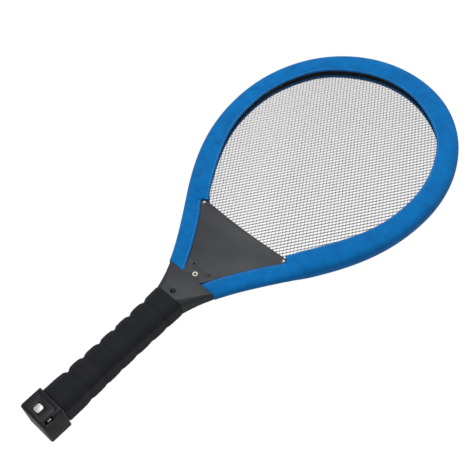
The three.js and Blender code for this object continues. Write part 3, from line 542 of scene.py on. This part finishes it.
def make_sleeve():
    """The padded sleeve round the hoop, with a slightly uneven width and face."""
    points, normals, s = rim_outline(SECTION_PITCH)
    z = points[:, 1]
    widths = sleeve_width(z) + wander(s, seed=3, wavelengths=[61, 97, 149], amplitude=0.12)
    puckers = np.cos(2 * np.pi * s / STITCH_PITCH)
    sections = np.array([sleeve_section(*at) for at in zip(z, widths, puckers)])
    y = sections[:, :, 1]
    on_face = np.abs(y) > rim_depth(z)[:, None] - 1.5
    swell = wander(s, seed=5, wavelengths=[23, 37, 71, 113], amplitude=0.10)[:, None]
    sections[:, :, 1] = y + np.sign(y) * on_face * swell
    rings = sweep(points, normals, sections)
    around = sections.shape[1]
    faces = grid_faces(len(points), around)
    faces.append(tuple(range(around - 1, -1, -1)))
    last = (len(points) - 1) * around
    faces.append(tuple(range(last, last + around)))
    piece = new_piece("padded_sleeve", to_frame(rings.reshape(-1, 3)), faces, FABRIC)
    cut_at(piece, SHOULDER_Z + SHOULDER_GAP)
    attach(piece, "racket")
    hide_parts("rim_sleeve")


def stitch_rings(frames, face_y, side, outward):
    """The points of one stitch, ring by ring. frames has each ring's middle, the outline's normal
    there, the thread's lift off the seam and its radius. side is -1 in front, 1 at the rear."""
    points = []
    for at, normal, lift, radius in frames:
        for k in range(STITCH_SIDES):
            turn = 2 * math.pi * k / STITCH_SIDES
            out = radius * math.cos(turn) + outward
            up = radius * math.sin(turn)
            points.append((at[0] + normal[0] * out, side * (face_y + lift + up),
                           at[1] + normal[1] * out))
    return points


def make_stitches():
    """Running stitches in the seam, front and rear, each a short bowed thread."""
    points, normals, s = rim_outline(0.4)
    rings = len(STITCH_SHAPE)
    tube = grid_faces(rings, STITCH_SIDES)
    tube.append(tuple(range(STITCH_SIDES)))
    tube.append(tuple(range((rings - 1) * STITCH_SIDES, rings * STITCH_SIDES)))

    def at(place, values):
        return np.array([np.interp(place, s, values[:, k]) for k in (0, 1)])

    vertices = []
    faces = []
    for middle in np.arange(STITCH_PITCH * 0.5, s[-1], STITCH_PITCH):
        z = at(middle, points)[1]
        inset = sleeve_width(z) - SEAM_INSET
        frames = []
        for along, lift, radius in STITCH_SHAPE:
            normal = at(middle + along, normals)
            frames.append((at(middle + along, points) - normal * inset, normal, lift, radius))
        if min(place[1] for place, _, _, _ in frames) < STITCH_FOOT_Z:
            continue
        for side, outward in ((-1, 0.0), (1, rear_recess(z))):
            faces += [tuple(len(vertices) + v for v in face) for face in tube]
            vertices += stitch_rings(frames, rim_depth(z) - STITCH_DEPTH, side, outward)
    piece = new_piece("sleeve_stitching", to_frame(vertices), faces, THREAD)
    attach(piece, "racket")


def inside(polygon, x, z):
    """Whether each point lies in the polygon."""
    result = np.zeros(x.shape, dtype=bool)
    for (x0, z0), (x1, z1) in zip(polygon, np.roll(polygon, -1, axis=0)):
        crosses = (z0 > z) != (z1 > z)
        at = (x1 - x0) * (z - z0) / np.where(z1 == z0, 1e-9, z1 - z0) + x0
        result ^= crosses & (x < at)
    return result


def mesh_area():
    """Where the wire mesh lies: inside the rim and down into the throat."""
    points, normals, _ = rim_outline(6)
    edge = points - normals * MESH_INSET
    edge = edge[edge[:, 1] > THROAT_TOP_Z + 3]
    half_foot = [[MESH_FOOT_HALF, MESH_FOOT_Z], [MESH_FOOT_HALF, MESH_LEDGE_Z],
                 [MESH_LEDGE_HALF, MESH_LEDGE_Z]]
    foot = [[-x, z] for x, z in reversed(half_foot)] + half_foot
    return np.concatenate([edge, foot])


def mesh_cells(half_x, half_z):
    """Column and row numbers of the diamond cells that lie wholly inside the mesh's area."""
    area = mesh_area()
    last_column = int(HEAD_HALF_WIDTH / half_x)
    columns = np.arange(-last_column, last_column + 1)
    rows = np.arange(int(MESH_FOOT_Z / half_z) - 2, int((HEAD_CENTRE_Z + HEAD_RISE) / half_z) + 2)
    grid_x, grid_z = np.meshgrid(columns, rows)
    odd = (grid_x + grid_z) % 2 == 1
    cells = np.stack([grid_x[odd], grid_z[odd]], 1)
    keep = np.ones(len(cells), dtype=bool)
    for step_x, step_z in ((1, 0), (-1, 0), (0, 1), (0, -1)):
        keep &= inside(area, (cells[:, 0] + step_x) * half_x, (cells[:, 1] + step_z) * half_z)
    return cells[keep].tolist()


def cell_opening(half_x, half_z):
    """The eight corners of a cell's opening, from the cell's middle."""
    side = half_x * OPENING_REACH - SIDE_CUT
    end = half_z * OPENING_REACH - END_CUT
    lean_x = half_x * OPENING_LEAN
    lean_z = half_z * OPENING_LEAN
    corners = [(side, lean_z - SIDE_HALF), (side, lean_z + SIDE_HALF),
               (lean_x + END_HALF, end), (lean_x - END_HALF, end)]
    return corners + [(-x, -z) for x, z in corners]


def cell_faces(corners, opening):
    """Faces from a cell's four knuckles to the eight corners of its opening. Each number is that
    of a front vertex, and the rear one is next after it."""
    faces = []
    for side in range(4):
        here, there = corners[side], corners[(side + 1) % 4]
        before, a, b = opening[2 * side], opening[2 * side + 1], opening[(2 * side + 2) % 8]
        for rear in (0, 1):
            faces.append((here + rear, there + rear, b + rear, a + rear))
            faces.append((here + rear, a + rear, before + rear))
        faces.append((a, b, b + 1, a + 1))
        faces.append((before, a, a + 1, before + 1))
    return faces


def expanded_sheet(y_middle):
    """Vertices and faces of one sheet of diamond cells with thin strands and thicker knuckles."""
    half_x = CELL_WIDTH / 2
    half_z = CELL_HEIGHT / 2
    opening = cell_opening(half_x, half_z)
    vertices = []
    faces = []
    knuckles = {}
    strand_uses = {}

    def front_and_rear(x, z, half_thick):
        vertices.append((x, y_middle - half_thick, z))
        vertices.append((x, y_middle + half_thick, z))
        return len(vertices) - 2

    def knuckle(i, j):
        if (i, j) not in knuckles:
            knuckles[(i, j)] = front_and_rear(i * half_x, j * half_z, KNUCKLE_HALF_THICK)
        return knuckles[(i, j)]

    for i, j in mesh_cells(half_x, half_z):
        corners = [knuckle(i + 1, j), knuckle(i, j + 1), knuckle(i - 1, j), knuckle(i, j - 1)]
        inner = [front_and_rear(i * half_x + dx, j * half_z + dz, STRAND_HALF_THICK)
                 for dx, dz in opening]
        faces += cell_faces(corners, inner)
        for ends in zip(corners, corners[1:] + corners[:1]):
            strand = tuple(sorted(ends))
            strand_uses[strand] = strand_uses.get(strand, 0) + 1
    faces += [(a, b, b + 1, a + 1) for (a, b), uses in strand_uses.items() if uses == 1]
    return vertices, faces


def make_wire_mesh(name, node, level):
    """One layer of expanded metal, staggered a little against the next."""
    vertices, faces = expanded_sheet(level * MESH_PITCH)
    stagger = LAYER_STAGGER * level
    piece = new_piece(name, to_frame(np.array(vertices) + stagger), faces, WIRE, smooth=False)
    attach(piece, "racket")
    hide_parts(node)


# ---- grip -----------------------------------------------------------------------------------


def rounded_section(half_x, half_y, radius):
    points = []
    for quarter, (side_x, side_y) in enumerate([(1, 1), (-1, 1), (-1, -1), (1, -1)]):
        for k in range(GRIP_ROUND):
            angle = (quarter + k / (GRIP_ROUND - 1)) * math.pi / 2
            points.append((side_x * (half_x - radius) + radius * math.cos(angle),
                           side_y * (half_y - radius) + radius * math.sin(angle)))
    return np.array(points)


def even_loop(points):
    """The same closed loop with points evenly spaced along it."""
    closed = np.concatenate([points, points[:1]])
    lengths = lengths_along(closed)
    s = np.linspace(0, lengths[-1], GRIP_AROUND, endpoint=False)
    return np.stack([np.interp(s, lengths, closed[:, k]) for k in (0, 1)], 1)


def grip_ring(z, shrink):
    """The grip's section at a height. The finger grooves are deepest on the left."""
    share = (z - GRIP_FOOT_Z) / (GRIP_TOP_Z - GRIP_FOOT_Z)
    waist = math.sin(math.pi * min(max((share - 0.1) / 0.9, 0), 1))
    half = GRIP_FOOT_HALF + (GRIP_TOP_HALF - GRIP_FOOT_HALF) * share - waist * GRIP_WAIST - shrink
    ring = even_loop(rounded_section(half[0], half[1], GRIP_CORNER_RADIUS))
    phase = (z - GRIP_GROOVE_Z) / GRIP_PITCH
    nearest = min(max(round(phase), 0), GROOVE_COUNT - 1)
    away = abs(phase - nearest) * GRIP_PITCH
    groove = math.exp(-((away / GROOVE_HALF_WIDTH) ** 2))
    hollow = HOLLOW_SHARE * math.exp(-((away / HOLLOW_HALF_WIDTH) ** 2))
    deeper = LOWEST_GROOVE_DEPTH if nearest == 0 else 1.0
    finger_side = 1 - ring[:, 0] / half[0]
    depth = deeper * (groove + hollow) * (0.5 + 0.5 * finger_side)
    reach = np.linalg.norm(ring, axis=1)
    return ring * (1 - depth / reach)[:, None] + [0, GRIP_BACKWARD * (1 - share**2)]


def grip_skin():
    """The grip's rings from foot to top, with rounded ends and a slight ripple."""
    rises = np.array(GRIP_EDGE_RISES)
    heights = np.concatenate([
        GRIP_FOOT_Z + rises,
        np.arange(GRIP_FOOT_Z + 2.2, GRIP_TOP_Z - 2, GRIP_RING_PITCH),
        GRIP_TOP_Z - rises[::-1],
    ])
    rings = []
    for k, z in enumerate(heights):
        from_end = min(k, len(heights) - 1 - k)
        shrink = GRIP_EDGE_SHRINKS[from_end] if from_end < len(GRIP_EDGE_SHRINKS) else 0.0
        rings.append(np.column_stack([grip_ring(z, shrink), np.full(GRIP_AROUND, z)]))
    skin = np.concatenate(rings)
    angle = np.arctan2(skin[:, 1], skin[:, 0])
    ripple = np.sin(angle * 5 + skin[:, 2] * 0.31) * np.sin(skin[:, 2] * 0.83 + angle * 2)
    skin[:, :2] *= (1 + GRIP_RIPPLE * ripple)[:, None]
    return skin, len(heights)


def make_grip():
    skin, ring_count = grip_skin()
    bore = even_loop(rounded_section(*BORE_HALF, BORE_CORNER_RADIUS))
    top = np.column_stack([bore, np.full(GRIP_AROUND, GRIP_TOP_Z)])
    foot = np.column_stack([bore, np.full(GRIP_AROUND, GRIP_FOOT_Z)])
    vertices = np.concatenate([skin, top, foot])
    faces = grid_faces(ring_count + 2, GRIP_AROUND, closed_rings=True)
    piece = new_piece("ribbed_foam_grip", to_frame(vertices), faces, FOAM)
    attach(piece, "racket")
    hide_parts("foam_grip")


# ---- CAD nodes that stay --------------------------------------------------------------------


def dress(node, material, bevel, segments):
    """Gives a CAD node its material, rounded edges and smooth shading, with its mesh unchanged."""
    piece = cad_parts[node]
    piece.data.materials.clear()
    piece.data.materials.append(material)
    piece.data.polygons.foreach_set("use_smooth", [True] * len(piece.data.polygons))
    weld = piece.modifiers.new("weld", "WELD")
    weld.merge_threshold = JOIN_DISTANCE * MM
    flatten = piece.modifiers.new("flatten", "DECIMATE")
    flatten.decimate_type = "DISSOLVE"
    flatten.angle_limit = math.radians(FLAT_ANGLE)
    rounding = piece.modifiers.new("rounding", "BEVEL")
    rounding.width = bevel * MM
    rounding.segments = segments
    rounding.limit_method = "ANGLE"
    rounding.angle_limit = math.radians(ROUND_ANGLE)
    rounding.harden_normals = True
    rounding.use_clamp_overlap = True


# Material, bevel width in millimetres, bevel segments, nodes.
DRESSES = [
    (THROAT, 0.5, 3, ["front_shell", "rear_shell"]),
    (BLACK, 0.3, 3, ["front_hoop", "rear_hoop"]),
    (BLACK, 0.2, 3, ["front_spacer_ring", "rear_spacer_ring"]),
    (RIVET, 0.08, 2, ["tip_rivet_left", "tip_rivet_right"]),
    (STEEL, 0.08, 2, ["cap_screw", "door_pin", "contact_spring", "upper_contact", "lower_contact"]),
    (STEEL, 0.08, 2, ["shell_screw_1", "shell_screw_2", "shell_screw_3", "shell_screw_4"]),
    (IVORY, 0.12, 2, ["led_bezel"]),
    (LENS_DARK, 0.05, 2, ["indicator_led", "power_light"]),
    (LENS_RED, 0.05, 2, ["charge_light"]),
    (BUTTON_BLACK, 0.15, 2, ["zap_button"]),
    (BLACK, 0.1, 2, ["button_switch"]),
    (BOARD, 0.1, 2, ["circuit_board", "charging_board"]),
    (FERRITE, 0.2, 2, ["transformer"]),
    (DIPPED, 0.2, 2, ["high_voltage_capacitor"]),
    (CELL, 0.2, 2, ["battery_cell_lower", "battery_cell_upper"]),
    (RED_WIRE, 0.05, 2, ["outer_mesh_lead", "charging_lead"]),
    (BLACK_WIRE, 0.05, 2, ["middle_mesh_lead", "battery_lead"]),
    (CHARCOAL, 0.4, 3, ["cap_housing"]),
    (CHARCOAL, 0.35, 3, ["cap_door"]),
    (SILVER, 0.25, 3, ["latch_button"]),
    (STEEL, 0.15, 2, ["charging_socket"]),
]


def dress_all():
    for material, bevel, segments, nodes in DRESSES:
        for node in nodes:
            dress(node, material, bevel, segments)


# ---- stage ----------------------------------------------------------------------------------


def make_camera():
    """Sets the camera, and gives its upward and backward directions."""
    azimuth, elevation, roll = (math.radians(v) for v in (VIEW_AZIMUTH, VIEW_ELEVATION, VIEW_ROLL))
    target = Vector((VIEW_TARGET_X, 0, VIEW_TARGET_Z - HAND_Z))
    back = Vector((math.sin(azimuth) * math.cos(elevation), -math.cos(azimuth) * math.cos(elevation),
                   math.sin(elevation)))
    right = (-back).cross(Vector((0, 0, 1))).normalized()
    up = right.cross(-back)
    rolled_right = math.cos(roll) * right + math.sin(roll) * up
    rolled_up = -math.sin(roll) * right + math.cos(roll) * up
    lens = bpy.data.cameras.new("camera")
    lens.lens = LENS
    lens.sensor_width = 36
    lens.clip_start = 0.01
    lens.clip_end = 100
    camera = bpy.data.objects.new("camera", lens)
    axes = Matrix((rolled_right, rolled_up, back)).transposed()
    camera.matrix_world = Matrix.Translation((target + back * VIEW_DISTANCE) * MM) @ axes.to_4x4()
    bpy.context.scene.collection.objects.link(camera)
    bpy.context.scene.camera = camera
    return rolled_up, back


def add_light(name, direction, distance, size, power):
    """A round soft light that shines back along direction, in metres and watts."""
    data = bpy.data.lights.new(name, "AREA")
    data.shape = "DISK"
    data.size = size
    data.energy = power
    light = bpy.data.objects.new(name, data)
    light.location = Vector(LIGHTS_AIM) + direction.normalized() * distance
    light.rotation_mode = "QUATERNION"
    light.rotation_quaternion = direction.to_track_quat("Z", "Y")
    bpy.context.scene.collection.objects.link(light)


def make_world():
    """A white surround that is seen at full strength but lights the piece more gently."""
    world = bpy.data.worlds.new("studio")
    world.use_nodes = True
    tree = world.node_tree
    lit = tree.nodes["Background"]
    lit.inputs["Color"].default_value = (1, 1, 1, 1)
    lit.inputs["Strength"].default_value = LIT_STRENGTH
    seen = tree.nodes.new("ShaderNodeBackground")
    seen.inputs["Color"].default_value = (1, 1, 1, 1)
    seen.inputs["Strength"].default_value = 1.0
    path = tree.nodes.new("ShaderNodeLightPath")
    mix = tree.nodes.new("ShaderNodeMixShader")
    tree.links.new(path.outputs["Is Camera Ray"], mix.inputs["Fac"])
    tree.links.new(lit.outputs["Background"], mix.inputs[1])
    tree.links.new(seen.outputs["Background"], mix.inputs[2])
    tree.links.new(mix.outputs["Shader"], tree.nodes["World Output"].inputs["Surface"])
    return world


def make_floor():
    """A pale, faintly glowing sheet far below the racket."""
    paper = Nodes("studio_paper", 0.9)
    paper.colour_between(paper.noise(scale=3, detail=2), (0.86, 0.86, 0.86), (0.9, 0.9, 0.9))
    paper.shader.inputs["Emission Color"].default_value = (1, 1, 1, 1)
    paper.shader.inputs["Emission Strength"].default_value = 0.12
    bpy.ops.mesh.primitive_circle_add(vertices=96, radius=FLOOR_RADIUS, fill_type="NGON",
                                      location=(0, 0, FLOOR_Z))
    floor = bpy.context.object
    floor.name = "floor"
    floor.data.materials.append(paper.material)


def make_stage():
    scene = bpy.context.scene
    scene.view_settings.view_transform = "Standard"
    up, back = make_camera()
    scene.world = make_world()
    add_light("key", up + 0.6 * back, distance=1.6, size=1.0, power=16)
    add_light("glint", Vector((0.83, -0.44, 0.34)), distance=1.8, size=0.3, power=0.22)
    add_light("rear", Vector((0.3, 1, 0.5)), distance=1.6, size=1.0, power=4)
    make_floor()


make_stage()
make_sleeve()
make_stitches()
make_wire_mesh("front_wire_mesh", "front_mesh", -1)
make_wire_mesh("middle_wire_mesh", "middle_mesh", 0)
make_wire_mesh("rear_wire_mesh", "rear_mesh", 1)
make_grip()
dress_all()
